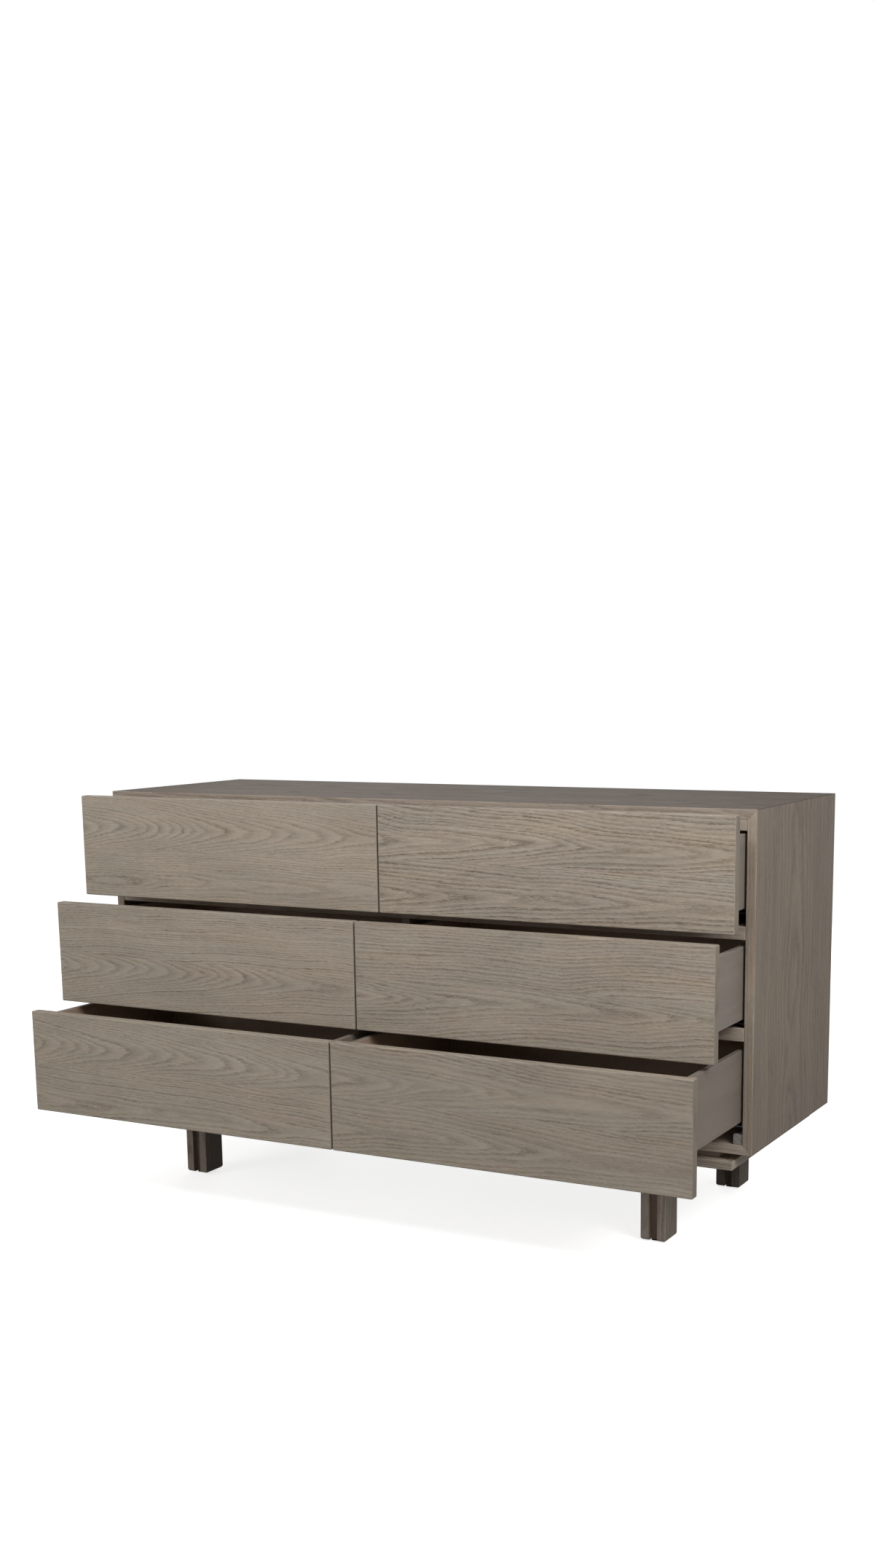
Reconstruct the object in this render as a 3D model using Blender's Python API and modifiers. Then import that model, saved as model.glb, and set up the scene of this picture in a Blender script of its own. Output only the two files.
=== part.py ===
"""Six-drawer dresser: a mitred case on a set-back base, with full-overlay drawers on metal slides.

Sizes are in metres. X runs to the right for someone who faces the drawers, Y from the front to the
back and Z up. The origin is on the floor, under the middle of the dresser as it stands here,
with its drawers partly open. Each drawer hangs on an empty that lies on its slide's axis.
"""

import bpy
import bmesh
from math import radians, sqrt
from mathutils import Vector

# Clearances
FIT_GAP = 0.0003
SLIDE_RUNNING_GAP = 0.0005
DRAWER_SIDE_GAP = 0.005

# Case
CASE_WIDTH = 1.524
CASE_DEPTH = 0.4785
CASE_HEIGHT = 0.663
BOARD = 0.019
BACK_THICKNESS = 0.006
BACK_INSET = 0.010
BACK_GROOVE_DEPTH = 0.006
DIVIDER_THICKNESS = 0.019
TOP_RAIL_HEIGHT = 0.021
RAIL_THICKNESS = 0.0255
RAIL_DEPTH = 0.060
UPPER_RAIL_LAP = 0.001
LOWER_RAIL_LAP = 0.0295
CLEAT_WIDTH = 0.0195
CLEAT_HEIGHT = 0.020
CLEAT_SETBACK = 0.003
CLEAT_REAR_GAP = 0.0195

# Base
LEG_HEIGHT = 0.1645
LEG_DEPTH = 0.0605
LEG_BOARD = 0.018
BOARDS_IN_LEG = 3
LEG_GROOVE_DEPTH = 0.0135
LEG_INSET_SIDE = 0.1365
LEG_FOOT_ROUND = 0.0055
GLIDE_WIDTH = 0.0165
GLIDE_DEPTH = 0.033
GLIDE_HEIGHT = 0.008
GLIDE_PROUD = 0.003
FRAME_THICKNESS = 0.0175
FRAME_RAIL_WIDTH = 0.085
BASE_INSET_SIDE = 0.0365
BASE_INSET_FRONT = 0.015
BASE_INSET_BACK = 0.009
SHADOW_GAP = 0.014
SPACER_WIDTH = 0.060
SPACER_SETBACK_FRONT = 0.022
SPACER_SETBACK_SIDE = 0.0345

# Drawer fronts
FRONT_THICKNESS = 0.022
FRONT_GAP_BETWEEN_ROWS = 0.006
FRONT_GAP_BETWEEN_COLUMNS = 0.003
FRONT_TOP_REVEAL = 0.0035
FRONT_SIDE_REVEAL = 0.0015
FRONT_DROP = 0.005
FRONT_CLOSED_GAP = 0.001

# Drawer boxes
BOX_LOWER_THAN_FRONT = 0.0765
BOX_REAR_GAP = 0.0325
BOX_OVER_UPPER_RAIL = 0.033
BOX_OVER_LOWER_RAIL = 0.016
BOX_OVER_CASE_FLOOR = 0.0445
BOX_SIDE_THICKNESS = 0.012
BOX_BACK_THICKNESS = 0.012
BOX_BACK_INSET = 0.008
BOX_BACK_TOP_STEP = 0.003
BOX_BOTTOM_THICKNESS = 0.006
BOX_BOTTOM_RISE = 0.012
HOUSING_DEPTH = 0.005
FRONT_HOUSING_DEPTH = 0.006

# Drawer slides: a channel on the case's wall and an upturned channel under the box
SLIDE_SHORTER_THAN_BOX = 0.030
SLIDE_SHEET = 0.0015
SLIDE_CASE_WIDTH = 0.045
SLIDE_CASE_HEIGHT = 0.0105
SLIDE_DROP = 0.0085
SLIDE_BOX_WIDTH = 0.022
SLIDE_BOX_INSET = 0.003
SLIDE_SETBACK = 0.003

# How far the drawers stand open here
TOP_OPENING = 0.083
MIDDLE_OPENING = 0.178
BOTTOM_OPENING = 0.276

# Edges
EASE = 0.0012
FRONT_EASE = 0.0025
EASE_SEGMENTS = 2
FRONT_EASE_SEGMENTS = 3
FOOT_SEGMENTS = 3
ROUND_PROFILE = 0.5
SHARP_ANGLE = radians(50)

# Places that follow from the sizes
X, Y, Z = range(3)
LEG_BOTTOM = GLIDE_PROUD
FRAME_BOTTOM = LEG_BOTTOM + LEG_HEIGHT
FRAME_TOP = FRAME_BOTTOM + FRAME_THICKNESS
CASE_BOTTOM = FRAME_TOP + SHADOW_GAP
CASE_TOP = CASE_BOTTOM + CASE_HEIGHT
HALF_WIDTH = CASE_WIDTH / 2
INNER_HALF_WIDTH = HALF_WIDTH - BOARD
INNER_BOTTOM = CASE_BOTTOM + BOARD
INNER_TOP = CASE_TOP - BOARD
BACK_FRONT_FACE = CASE_DEPTH - BACK_INSET - BACK_THICKNESS
CLOSED_FACE = -(FRONT_THICKNESS + FRONT_CLOSED_GAP)
BASE_FRONT = CLOSED_FACE + BASE_INSET_FRONT
BASE_BACK = CASE_DEPTH - BASE_INSET_BACK
BASE_HALF_WIDTH = HALF_WIDTH - BASE_INSET_SIDE
LEG_WIDTH = BOARDS_IN_LEG * LEG_BOARD
BAY_WIDTH = INNER_HALF_WIDTH - DIVIDER_THICKNESS / 2
BOX_WIDTH = BAY_WIDTH - 2 * DRAWER_SIDE_GAP
BOX_DEPTH = BACK_FRONT_FACE - BOX_REAR_GAP
SLIDE_LENGTH = BOX_DEPTH - SLIDE_SHORTER_THAN_BOX
CLEAT_LENGTH = BACK_FRONT_FACE - CLEAT_SETBACK - CLEAT_REAR_GAP
FRONTS_HEIGHT = CASE_HEIGHT + FRONT_DROP - FRONT_TOP_REVEAL
ROW_PITCH = (FRONTS_HEIGHT + FRONT_GAP_BETWEEN_ROWS) / 3
FRONT_HEIGHT = ROW_PITCH - FRONT_GAP_BETWEEN_ROWS
BOX_HEIGHT = FRONT_HEIGHT - BOX_LOWER_THAN_FRONT
TOP_ROW_FOOT = CASE_TOP - FRONT_TOP_REVEAL - FRONT_HEIGHT
MIDDLE_ROW_FOOT = TOP_ROW_FOOT - ROW_PITCH
BOTTOM_ROW_FOOT = MIDDLE_ROW_FOOT - ROW_PITCH
UPPER_RAIL_TOP = TOP_ROW_FOOT + UPPER_RAIL_LAP
LOWER_RAIL_TOP = MIDDLE_ROW_FOOT + LOWER_RAIL_LAP
FURTHEST_FACE = CLOSED_FACE - max(TOP_OPENING, MIDDLE_OPENING, BOTTOM_OPENING)
ORIGIN_DEPTH = (FURTHEST_FACE + CASE_DEPTH) / 2

# Rows: name, underside of the fronts, underside of the boxes, how far they stand open
ROWS = (
    ("top", TOP_ROW_FOOT, UPPER_RAIL_TOP + BOX_OVER_UPPER_RAIL, TOP_OPENING),
    ("middle", MIDDLE_ROW_FOOT, LOWER_RAIL_TOP + BOX_OVER_LOWER_RAIL, MIDDLE_OPENING),
    ("bottom", BOTTOM_ROW_FOOT, INNER_BOTTOM + BOX_OVER_CASE_FLOOR, BOTTOM_OPENING),
)
COLUMNS = (("left", -1), ("right", 1))

# Colours, as linear values
OAK_FRONT = (0.270, 0.231, 0.187)
OAK_CASE = (0.180, 0.150, 0.125)
OAK_TOP = (0.190, 0.160, 0.140)
OAK_LEG = (0.105, 0.086, 0.070)
OAK_END_GRAIN = (0.130, 0.112, 0.100)
BOX_WOOD = (0.185, 0.160, 0.138)
PLYWOOD = (0.060, 0.045, 0.035)
STEEL = (0.030, 0.030, 0.032)
METAL = 1.0


def clear_scene():
    for item in list(bpy.data.objects):
        bpy.data.objects.remove(item, do_unlink=True)


def new_collection(name):
    made = bpy.data.collections.new(name)
    bpy.context.scene.collection.children.link(made)
    return made


def surface(name, colour, roughness, metallic=0.0):
    """A plain surface of one colour."""
    made = bpy.data.materials.new(name)
    made.use_nodes = True
    shader = made.node_tree.nodes["Principled BSDF"]
    shader.inputs["Base Color"].default_value = (*colour, 1.0)
    shader.inputs["Roughness"].default_value = roughness
    shader.inputs["Metallic"].default_value = metallic
    return made


def box_mesh(name, low, high):
    """A cuboid between two corners, as an open bmesh around its own middle."""
    shape = bmesh.new()
    bmesh.ops.create_cube(shape, size=1.0)
    bmesh.ops.scale(shape, vec=Vector(high) - Vector(low), verts=shape.verts)
    return shape


def place(name, shape, centre, parent, look):
    """Turns a bmesh into a named object of the dresser."""
    mesh = bpy.data.meshes.new(name)
    shape.to_mesh(mesh)
    shape.free()
    made = bpy.data.objects.new(name, mesh)
    made.location = centre
    made.parent = parent
    if look is None:
        CUTTERS.objects.link(made)
        made.hide_render = True
        made.display_type = "WIRE"
    else:
        DRESSER.objects.link(made)
        mesh.materials.append(look)
    return made


def middle(low, high):
    return (Vector(low) + Vector(high)) / 2


def ease(piece, width=EASE, segments=EASE_SEGMENTS):
    """Rounds the piece's sharp edges, before anything is cut into it."""
    rounding = piece.modifiers.new("eased_edges", "BEVEL")
    rounding.width = width
    rounding.segments = segments
    rounding.limit_method = "ANGLE"
    rounding.angle_limit = SHARP_ANGLE


def board(name, low, high, parent, look, width=EASE, segments=EASE_SEGMENTS):
    """A planed board between two corners, with eased edges."""
    made = place(name, box_mesh(name, low, high), middle(low, high), parent, look)
    ease(made, width, segments)
    return made


def plain_board(name, low, high, parent, look):
    """A board that is hidden or cut from sheet, with square edges."""
    return place(name, box_mesh(name, low, high), middle(low, high), parent, look)


def block(name, low, high, parent):
    """The space between two corners, as a cutter."""
    return place(name, box_mesh(name, low, high), middle(low, high), parent, None)


def grown(low, high, by=FIT_GAP):
    """The two corners of a piece, moved out by its clearance."""
    out = Vector((by, by, by))
    return Vector(low) - out, Vector(high) + out


def cut(piece, cutter):
    """Takes the cutter's space out of the piece."""
    cutting = piece.modifiers.new("cut_" + cutter.name, "BOOLEAN")
    cutting.operation = "DIFFERENCE"
    cutting.solver = "EXACT"
    cutting.object = cutter


def join(piece, addition):
    """Makes the piece and the addition one solid."""
    joining = piece.modifiers.new("join_" + addition.name, "BOOLEAN")
    joining.operation = "UNION"
    joining.solver = "EXACT"
    joining.object = addition


def mitred_board(name, low, high, length_axis, inward, parent, look):
    """A case board whose ends are cut at 45 degrees towards its inner face."""
    shape = box_mesh(name, low, high)
    relief = FIT_GAP / sqrt(2)
    inward = Vector(inward)
    for corner in shape.verts:
        end = 1 if corner.co[length_axis] > 0 else -1
        drawn_in = BOARD if corner.co.dot(inward) > 0 else 0.0
        corner.co[length_axis] -= end * (drawn_in + relief)
    long_edges = [e for e in shape.edges if runs_along(e, length_axis)]
    bmesh.ops.bevel(shape, geom=long_edges, offset=EASE, segments=EASE_SEGMENTS,
                    affect="EDGES", profile=ROUND_PROFILE)
    return place(name, shape, middle(low, high), parent, look)


def runs_along(edge, axis):
    direction = (edge.verts[0].co - edge.verts[1].co).normalized()
    return abs(direction[axis]) > 0.99


def mirrored(low, high, side):
    """The same two corners on the other side of the middle plane, if side is -1."""
    if side > 0:
        return low, high
    return (-high[X], low[Y], low[Z]), (-low[X], high[Y], high[Z])


def build_case(frame):
    """Four mitred boards round a grooved back, with the rails and the divider between them."""
    top = mitred_board("top_panel", (-HALF_WIDTH, 0, INNER_TOP), (HALF_WIDTH, CASE_DEPTH, CASE_TOP),
                       X, (0, 0, -1), frame, LOOKS["oak_top"])
    bottom = mitred_board("bottom_panel", (-HALF_WIDTH, 0, CASE_BOTTOM), (HALF_WIDTH, CASE_DEPTH, INNER_BOTTOM),
                          X, (0, 0, 1), frame, LOOKS["oak_case"])
    sides = []
    for word, side in COLUMNS:
        low, high = mirrored((INNER_HALF_WIDTH, 0, CASE_BOTTOM), (HALF_WIDTH, CASE_DEPTH, CASE_TOP), side)
        sides.append(mitred_board(f"side_panel_{word}", low, high, Z, (-side, 0, 0), frame, LOOKS["oak_case"]))

    reach = BACK_GROOVE_DEPTH - FIT_GAP
    back_low = (-INNER_HALF_WIDTH - reach, BACK_FRONT_FACE, INNER_BOTTOM - reach)
    back_high = (INNER_HALF_WIDTH + reach, BACK_FRONT_FACE + BACK_THICKNESS, INNER_TOP + reach)
    plain_board("back_panel", back_low, back_high, frame, LOOKS["oak_case"])
    groove = block("back_groove", *grown(back_low, back_high), frame)
    for piece in (top, bottom, *sides):
        cut(piece, groove)

    inside = INNER_HALF_WIDTH - FIT_GAP
    rails = {
        "top_rail": (INNER_TOP - TOP_RAIL_HEIGHT, INNER_TOP - FIT_GAP),
        "upper_rail": (UPPER_RAIL_TOP - RAIL_THICKNESS, UPPER_RAIL_TOP),
        "lower_rail": (LOWER_RAIL_TOP - RAIL_THICKNESS, LOWER_RAIL_TOP),
    }
    half = DIVIDER_THICKNESS / 2
    divider = board("centre_divider", (-half, 0, INNER_BOTTOM + FIT_GAP),
                    (half, BACK_FRONT_FACE - FIT_GAP, INNER_TOP - FIT_GAP), frame, LOOKS["oak_case"])
    for name, (under, over) in rails.items():
        low, high = (-inside, 0, under), (inside, RAIL_DEPTH, over)
        board(name, low, high, frame, LOOKS["oak_case"])
        notch_low, notch_high = grown(low, high)
        notch_low[Y] -= BOARD
        cut(divider, block("notch_for_" + name, notch_low, notch_high, frame))


def build_cleats(frame):
    """Square strips in the case's bottom corners, against the side boards."""
    for word, side in COLUMNS:
        outer = INNER_HALF_WIDTH - FIT_GAP
        floor = INNER_BOTTOM + FIT_GAP
        low, high = mirrored((outer - CLEAT_WIDTH, CLEAT_SETBACK, floor),
                             (outer, CLEAT_SETBACK + CLEAT_LENGTH, floor + CLEAT_HEIGHT), side)
        board(f"cleat_{word}", low, high, frame, LOOKS["end_grain"])


def build_base(frame):
    """A flat mitred frame under two spacer boards, on four grooved legs."""
    low = (-BASE_HALF_WIDTH, BASE_FRONT, FRAME_BOTTOM)
    high = (BASE_HALF_WIDTH, BASE_BACK, FRAME_TOP)
    base_frame = board("base_frame", low, high, frame, LOOKS["oak_leg"])
    window = block("frame_window",
                   (low[X] + FRAME_RAIL_WIDTH, low[Y] + FRAME_RAIL_WIDTH, low[Z] - BOARD),
                   (high[X] - FRAME_RAIL_WIDTH, high[Y] - FRAME_RAIL_WIDTH, high[Z] + BOARD), frame)
    cut(base_frame, window)

    spacer_half = BASE_HALF_WIDTH - SPACER_SETBACK_SIDE
    spacer_fronts = {
        "front": BASE_FRONT + SPACER_SETBACK_FRONT,
        "back": BASE_BACK - SPACER_SETBACK_FRONT - SPACER_WIDTH,
    }
    for word, face in spacer_fronts.items():
        board(f"spacer_{word}", (-spacer_half, face, FRAME_TOP + FIT_GAP),
              (spacer_half, face + SPACER_WIDTH, CASE_BOTTOM - FIT_GAP), frame, LOOKS["oak_leg"])

    leg_outer = BASE_HALF_WIDTH - LEG_INSET_SIDE
    for depth_word, face in (("front", BASE_FRONT), ("back", BASE_BACK - LEG_DEPTH)):
        for word, side in COLUMNS:
            centre = side * (leg_outer - LEG_WIDTH / 2)
            build_leg(f"leg_{depth_word}_{word}", centre, face, frame)


def build_leg(name, centre, face, frame):
    """Three laminated boards, the middle one set back front and rear, with a glide let in below it."""
    low = (centre - LEG_WIDTH / 2, face, LEG_BOTTOM)
    high = (centre + LEG_WIDTH / 2, face + LEG_DEPTH, FRAME_BOTTOM - FIT_GAP)
    shape = box_mesh(name, low, high)
    foot = [e for e in shape.edges if max(v.co.z for v in e.verts) < 0]
    bmesh.ops.bevel(shape, geom=foot, offset=LEG_FOOT_ROUND, segments=FOOT_SEGMENTS,
                    affect="EDGES", profile=ROUND_PROFILE)
    leg = place(name, shape, middle(low, high), frame, LOOKS["oak_leg"])
    ease(leg)
    half = LEG_BOARD / 2
    over = FRAME_BOTTOM + BOARD
    for word, groove_face in (("front", face), ("rear", face + LEG_DEPTH)):
        near = groove_face - LEG_GROOVE_DEPTH
        far = groove_face + LEG_GROOVE_DEPTH
        cut(leg, block(f"{name}_{word}_groove", (centre - half, near, -BOARD), (centre + half, far, over), frame))
    depth_middle = face + LEG_DEPTH / 2
    glide_low = (centre - GLIDE_WIDTH / 2, depth_middle - GLIDE_DEPTH / 2, 0)
    glide_high = (centre + GLIDE_WIDTH / 2, depth_middle + GLIDE_DEPTH / 2, GLIDE_HEIGHT)
    join(leg, block(f"{name}_glide", glide_low, glide_high, frame))


def build_slide_in_case(name, wall, toward, box_bottom, frame):
    """The fixed channel, open at the top, with its outer flange against the wall."""
    near = wall + toward * FIT_GAP
    far = near + toward * SLIDE_CASE_WIDTH
    under = box_bottom - SLIDE_DROP
    low = (min(near, far), SLIDE_SETBACK, under)
    high = (max(near, far), SLIDE_SETBACK + SLIDE_LENGTH, under + SLIDE_CASE_HEIGHT)
    channel = plain_board(name, low, high, frame, LOOKS["steel"])
    trough = block(name + "_trough", (low[X] + SLIDE_SHEET, low[Y] - BOARD, low[Z] + SLIDE_SHEET),
                   (high[X] - SLIDE_SHEET, high[Y] + BOARD, high[Z] + BOARD), frame)
    cut(channel, trough)


def build_drawer(row, front_foot, box_bottom, opening, column, side, frame):
    """A box let into a thick face board, on an empty at the slide's axis."""
    name = f"{row}_{column}_drawer"
    bay_middle = side * (DIVIDER_THICKNESS / 2 + BAY_WIDTH / 2)
    carrier = bpy.data.objects.new(name, None)
    carrier.location = (bay_middle, -FRONT_CLOSED_GAP - opening, box_bottom)
    carrier.parent = frame
    DRESSER.objects.link(carrier)

    front_rise = front_foot - box_bottom
    inner_edge = side * FRONT_GAP_BETWEEN_COLUMNS / 2 - bay_middle
    outer_edge = side * (HALF_WIDTH - FRONT_SIDE_REVEAL) - bay_middle
    front = board(name + "_front",
                  (min(inner_edge, outer_edge), -FRONT_THICKNESS, front_rise),
                  (max(inner_edge, outer_edge), 0, front_rise + FRONT_HEIGHT),
                  carrier, LOOKS["oak_front"], FRONT_EASE, FRONT_EASE_SEGMENTS)

    half = BOX_WIDTH / 2
    inner = half - BOX_SIDE_THICKNESS
    reach = HOUSING_DEPTH - FIT_GAP
    bottom_low = (-inner - reach, -reach, BOX_BOTTOM_RISE)
    bottom_high = (inner + reach, BOX_DEPTH, BOX_BOTTOM_RISE + BOX_BOTTOM_THICKNESS)
    bottom = plain_board(name + "_bottom", bottom_low, bottom_high, carrier, LOOKS["plywood"])
    bottom_groove = block(name + "_bottom_groove", *grown(bottom_low, bottom_high), carrier)

    back_rear = BOX_DEPTH - BOX_BACK_INSET
    back_low = (-inner - reach, back_rear - BOX_BACK_THICKNESS, bottom_high[Z] + FIT_GAP)
    back_high = (inner + reach, back_rear, BOX_HEIGHT - BOX_BACK_TOP_STEP)
    board(name + "_back", back_low, back_high, carrier, LOOKS["box_wood"])
    housing_high = (back_high[X], back_high[Y], BOX_HEIGHT + BOARD)
    back_housing = block(name + "_back_housing", *grown(back_low, housing_high), carrier)

    for word, hand in COLUMNS:
        let_in = FRONT_HOUSING_DEPTH - FIT_GAP
        low, high = mirrored((inner, -let_in, 0), (half, BOX_DEPTH, BOX_HEIGHT), hand)
        box_side = board(f"{name}_side_{word}", low, high, carrier, LOOKS["box_wood"])
        cut(box_side, bottom_groove)
        cut(box_side, back_housing)
        cut(front, block(f"{name}_side_{word}_housing", *grown(low, high), carrier))
        build_slide_on_box(bottom, f"{name}_slide_{word}", inner, hand, carrier)
        wall = bay_middle + hand * BAY_WIDTH / 2
        build_slide_in_case(f"{name}_rail_{word}", wall, -hand, box_bottom, frame)
    cut(front, bottom_groove)


def build_slide_on_box(bottom, name, inner, hand, carrier):
    """The upturned channel under the box, which runs in the channel on the wall."""
    outer = inner - SLIDE_BOX_INSET
    foot = SLIDE_SHEET + SLIDE_RUNNING_GAP - SLIDE_DROP
    low, high = mirrored((outer - SLIDE_BOX_WIDTH, SLIDE_SETBACK, foot),
                         (outer, SLIDE_SETBACK + SLIDE_LENGTH, BOX_BOTTOM_RISE + BOX_BOTTOM_THICKNESS / 2), hand)
    channel = block(name, low, high, carrier)
    trough = block(name + "_trough", (low[X] + SLIDE_SHEET, low[Y] - BOARD, low[Z] - BOARD),
                   (high[X] - SLIDE_SHEET, high[Y] + BOARD, BOX_BOTTOM_RISE - SLIDE_SHEET), carrier)
    cut(channel, trough)
    join(bottom, channel)


clear_scene()
DRESSER = new_collection("dresser")
CUTTERS = new_collection("dresser_cutters")
LOOKS = {
    "oak_front": surface("oak_front", OAK_FRONT, 0.55),
    "oak_case": surface("oak_case", OAK_CASE, 0.60),
    "oak_top": surface("oak_top", OAK_TOP, 0.55),
    "oak_leg": surface("oak_leg", OAK_LEG, 0.60),
    "end_grain": surface("end_grain", OAK_END_GRAIN, 0.75),
    "box_wood": surface("box_wood", BOX_WOOD, 0.50),
    "plywood": surface("plywood", PLYWOOD, 0.60),
    "steel": surface("steel", STEEL, 0.40, METAL),
}

dresser_frame = bpy.data.objects.new("dresser_frame", None)
dresser_frame.location = (0, -ORIGIN_DEPTH, 0)
DRESSER.objects.link(dresser_frame)

build_case(dresser_frame)
build_cleats(dresser_frame)
build_base(dresser_frame)
for row_of_drawers in ROWS:
    for place_in_row in COLUMNS:
        build_drawer(*row_of_drawers, *place_in_row, dresser_frame)
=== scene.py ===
"""Looks for the six-drawer dresser: materials, floor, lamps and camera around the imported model."""

import itertools
import math

import bpy
from mathutils import Matrix, Vector


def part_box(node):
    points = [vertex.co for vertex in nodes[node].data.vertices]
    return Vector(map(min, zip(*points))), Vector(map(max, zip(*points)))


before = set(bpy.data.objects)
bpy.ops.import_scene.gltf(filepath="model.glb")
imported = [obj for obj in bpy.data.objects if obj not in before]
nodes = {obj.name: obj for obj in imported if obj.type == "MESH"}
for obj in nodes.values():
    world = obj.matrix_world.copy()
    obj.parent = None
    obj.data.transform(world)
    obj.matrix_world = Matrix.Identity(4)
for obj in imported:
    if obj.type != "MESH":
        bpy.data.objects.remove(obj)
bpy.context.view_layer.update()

scene = bpy.context.scene
scene.view_settings.view_transform = "Standard"

MM = 1000.0


# The photograph's camera, solved from the dresser's edges
PHOTO_WIDTH, PHOTO_HEIGHT = 1200, 2152
FOCAL_PIXELS = 2413.188
AXIS_X, AXIS_Y = 696.078, 1374.939                # the pixel that the camera's axis meets
CAMERA_PLACE = (1.869556, -3.189234, 1.112163)    # metres
CAMERA_TURN = (27.801, 10.556, -0.519)            # yaw, pitch and roll in degrees
SENSOR_WIDTH = 36                                 # mm
CLIP_END = 60                                     # metres


def make_camera():
    """Looks along forward, with its rolled right and up. The lens and shift follow from pixels."""
    yaw, pitch, roll = (math.radians(angle) for angle in CAMERA_TURN)
    forward = Vector((-math.sin(yaw) * math.cos(pitch),
                      math.cos(yaw) * math.cos(pitch),
                      -math.sin(pitch)))
    right = Vector((math.cos(yaw), math.sin(yaw), 0))
    up = right.cross(forward)
    turned_right = right * math.cos(roll) + up * math.sin(roll)
    turned_up = up * math.cos(roll) - right * math.sin(roll)
    data = bpy.data.cameras.new("photo_camera")
    data.sensor_width = SENSOR_WIDTH
    data.lens = FOCAL_PIXELS * SENSOR_WIDTH / PHOTO_HEIGHT
    data.shift_x = (PHOTO_WIDTH / 2 - AXIS_X) / PHOTO_HEIGHT
    data.shift_y = (AXIS_Y - PHOTO_HEIGHT / 2) / PHOTO_HEIGHT
    data.clip_end = CLIP_END
    camera = bpy.data.objects.new("photo_camera", data)
    turn = Matrix((turned_right, turned_up, -forward)).transposed().to_4x4()
    camera.matrix_world = Matrix.Translation(CAMERA_PLACE) @ turn
    scene.collection.objects.link(camera)
    scene.camera = camera


# The sockets of a Mix node, for colours and for numbers
MIX_AMOUNT = 0
MIX_COLOURS, MIX_COLOUR_OUT = (6, 7), 2
MIX_NUMBERS, MIX_NUMBER_OUT = (2, 3), 0

# The part of Blender's noise, which runs from 0 to 1, that is taken to -1 and 1
NOISE_RANGE = (0.28, 0.72)


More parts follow.
